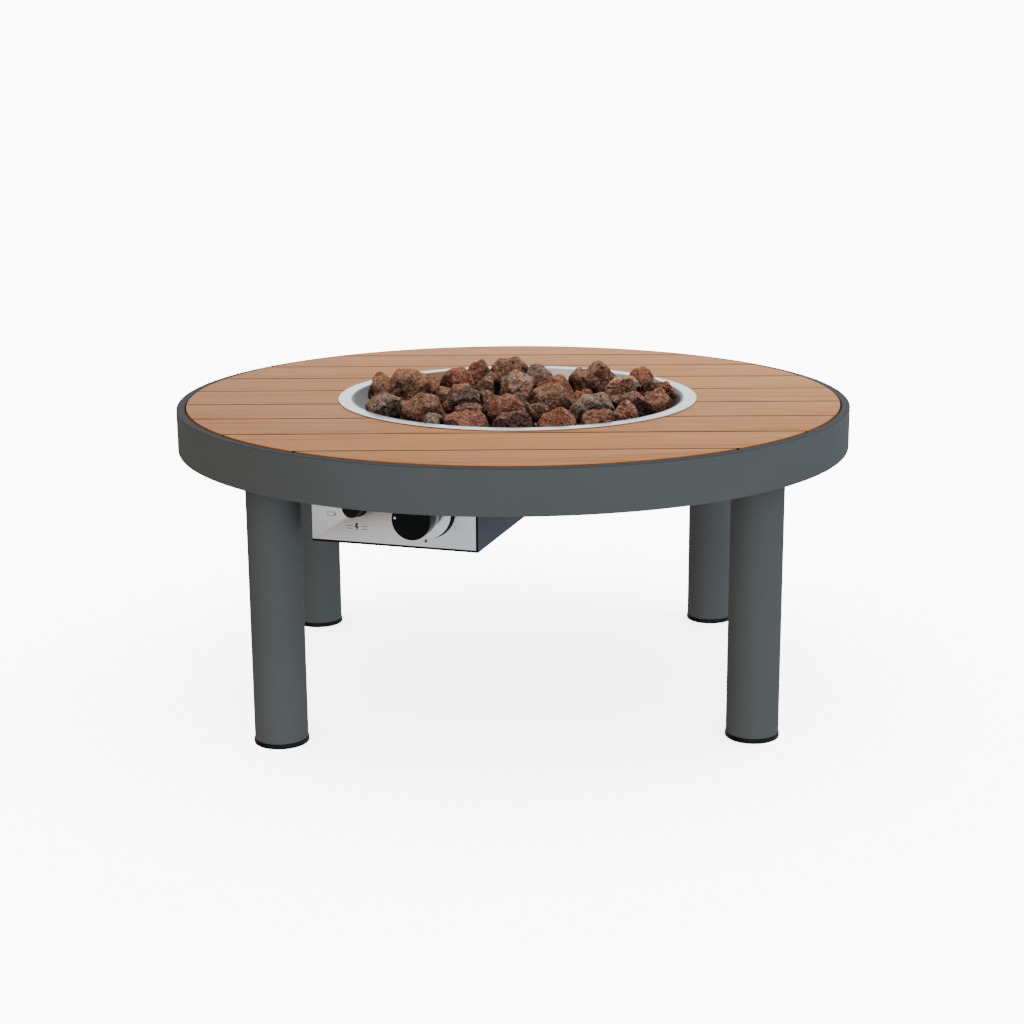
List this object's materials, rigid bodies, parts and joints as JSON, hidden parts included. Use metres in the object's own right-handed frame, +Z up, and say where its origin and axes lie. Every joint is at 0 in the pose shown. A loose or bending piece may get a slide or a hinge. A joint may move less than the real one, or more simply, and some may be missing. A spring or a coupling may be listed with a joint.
{
  "type": "gas fire table",
  "caption": "Low round gas fire table: slatted wooden top in a painted metal band, tube legs, stainless bowl of lava stone over a ring burner, hung control box with knob and igniter button.",
  "frame": {"origin": "on the floor, under the middle of the round top", "axes": "+Z up, -Y towards the side where the control box hangs, +X to the right as seen from there"},
  "size_m": [1.067, 1.067, 0.513],
  "materials": {
    "table_paint": "matte",
    "deck_wood": "oiled",
    "frame_aluminium": "mill",
    "fastener_steel": "zinc plated",
    "black_plastic": "matte",
    "stainless_sheet": "satin",
    "gas_brass": "machined",
    "cast_aluminium": "die cast",
    "white_ceramic": "glazed",
    "lead_rubber": "matte",
    "spring_steel": "bright",
    "black_gloss": "gloss",
    "bezel_chrome": "polished",
    "white_mark": "gloss",
    "battery_case": "gloss",
    "lava_stone": "rough, porous"
  },
  "bodies": {
    "table": {"rim_band": "table_paint", "main_beams": "frame_aluminium", "outer_beams": "frame_aluminium", "cross_beams": "frame_aluminium", "slat_battens": "frame_aluminium", "leg_pads": "frame_aluminium", "leg_flanges": "table_paint", "leg_front_left": "table_paint", "leg_front_right": "table_paint", "leg_rear_left": "table_paint", "leg_rear_right": "table_paint", "leg_bolts": "fastener_steel", "foot_caps": "black_plastic", "slat_screws": "fastener_steel", "fire_bowl": "stainless_sheet", "burner_ring": "stainless_sheet", "burner_lock_nut": "fastener_steel", "burner_elbow": "gas_brass", "air_mixer": "gas_brass", "gas_orifice": "gas_brass", "ignition_bracket": "stainless_sheet", "spark_electrode": "white_ceramic", "thermocouple": "stainless_sheet", "igniter_lead": "lead_rubber", "box_shell": "table_paint", "front_panel": "stainless_sheet", "box_lid": "table_paint", "box_hangers": "fastener_steel", "small_screws": "fastener_steel", "cable_grommets": "lead_rubber", "valve_body": "cast_aluminium", "valve_bonnet": "fastener_steel", "return_spring": "spring_steel", "bezel_ring": "black_gloss", "bezel_plate": "bezel_chrome", "igniter_housing": "black_plastic", "igniter_cap": "black_plastic", "igniter_spring": "spring_steel", "igniter_nut": "black_plastic", "battery": "battery_case", "inlet_fitting": "gas_brass", "inlet_tube": "frame_aluminium", "burner_tube": "frame_aluminium", "tube_nuts": "gas_brass", "lava_rocks": "lava_stone", "slat_1": "deck_wood", "slat_2": "deck_wood", "slat_3": "deck_wood", "slat_4": "deck_wood", "slat_5": "deck_wood", "slat_6": "deck_wood", "slat_7": "deck_wood", "slat_8": "deck_wood", "slat_9": "deck_wood"},
    "valve_plunger": {"push_collar": "gas_brass"},
    "knob": {"valve_stem": "gas_brass", "control_knob": "black_gloss", "knob_dot": "white_mark"},
    "igniter_plunger": {"igniter_button": "black_plastic"}
  },
  "joints": [
    {"name": "knob_push", "type": "slide", "parent": "table", "child": "valve_plunger", "axis": [0.309, 0.9511, 0], "range_m": [0, 0.003], "stiffness_N_per_m": 1500, "springref_m": -0.004, "deforming": ["return_spring"]},
    {"name": "knob_turn", "type": "hinge", "parent": "valve_plunger", "child": "knob", "pos_m": [-0.13057, -0.41846, 0.38], "axis": [0.309, 0.9511, 0], "range_deg": [-90, 90]},
    {"name": "igniter_push", "type": "slide", "parent": "table", "child": "igniter_plunger", "axis": [0.309, 0.9511, 0], "range_m": [0, 0.0035], "stiffness_N_per_m": 700, "springref_m": -0.003, "deforming": ["igniter_spring"]}
  ]
}
